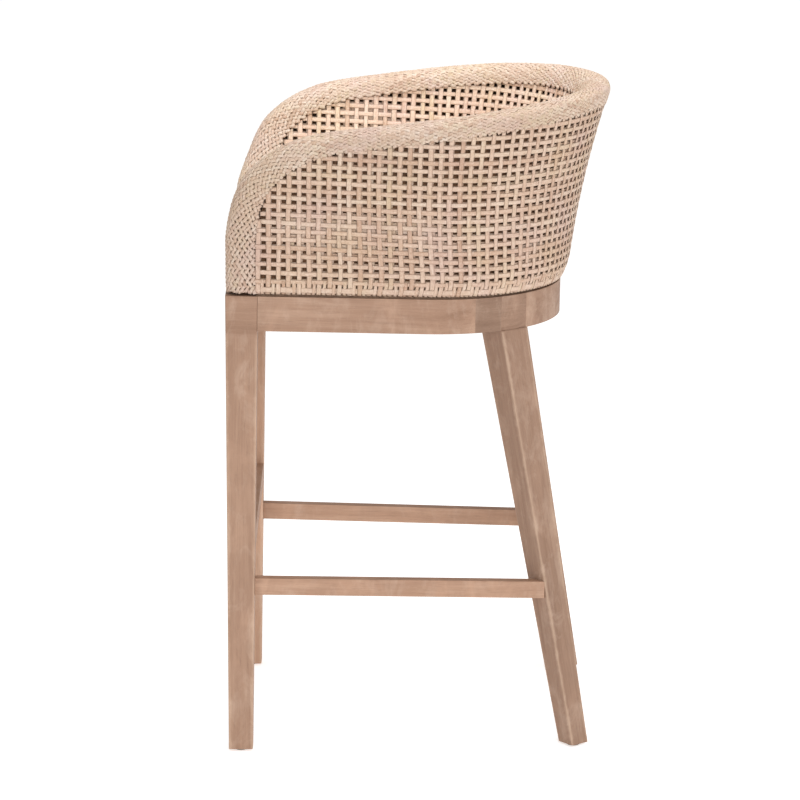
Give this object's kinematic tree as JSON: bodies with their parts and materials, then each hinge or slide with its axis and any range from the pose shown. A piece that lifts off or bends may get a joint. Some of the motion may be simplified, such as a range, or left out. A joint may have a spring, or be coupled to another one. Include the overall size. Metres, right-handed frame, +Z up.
{
  "type": "bar stool with footrest",
  "caption": "Bar stool with a woven rattan tub for arms and back, a seat pad and a washed wood base with tapered legs, stretchers and a front footrest.",
  "frame": {"origin": "on the floor, centred under the stool's overall width and depth", "axes": "+Z up; the front is -Y; +X is the sitter's left"},
  "size_m": [0.5364, 0.576, 0.9833],
  "materials": {
    "washed_wood": "white-washed hardwood, satin, eased edges",
    "frame_wood": "dark stained, hidden inside the wall",
    "plywood": "stained plywood, matte",
    "rattan": "natural split rattan, dry satin",
    "pad_fabric": "woven upholstery cloth, matte",
    "steel": "zinc plated",
    "glide_plastic": "hard plastic, matte"
  },
  "bodies": {
    "root": {"front_left_leg": "washed_wood", "front_right_leg": "washed_wood", "rear_left_leg": "washed_wood", "rear_right_leg": "washed_wood", "left_apron_rail": "washed_wood", "right_apron_rail": "washed_wood", "rear_left_apron_corner": "washed_wood", "rear_right_apron_corner": "washed_wood", "rear_apron_rail": "washed_wood", "front_apron_rail": "washed_wood", "frame_dowels": "plywood", "front_footrest": "washed_wood", "left_stretcher": "washed_wood", "right_stretcher": "washed_wood", "rear_stretcher": "washed_wood", "foot_glides": "glide_plastic", "corner_braces": "plywood", "seat_cross_batten": "plywood", "outer_woven_skin": "rattan", "inner_woven_skin": "rattan", "left_lining_panel": "frame_wood", "rear_left_lining_panel": "frame_wood", "right_lining_panel": "frame_wood", "rear_right_lining_panel": "frame_wood", "back_lining_panel": "frame_wood", "tub_base_hoop": "frame_wood", "tub_rim_hoop": "frame_wood", "tub_uprights": "frame_wood", "tub_screws": "steel", "seat_board": "plywood", "seat_screws": "steel", "woven_rim_roll": "rattan", "seat_cushion": "pad_fabric"}
  },
  "joints": []
}
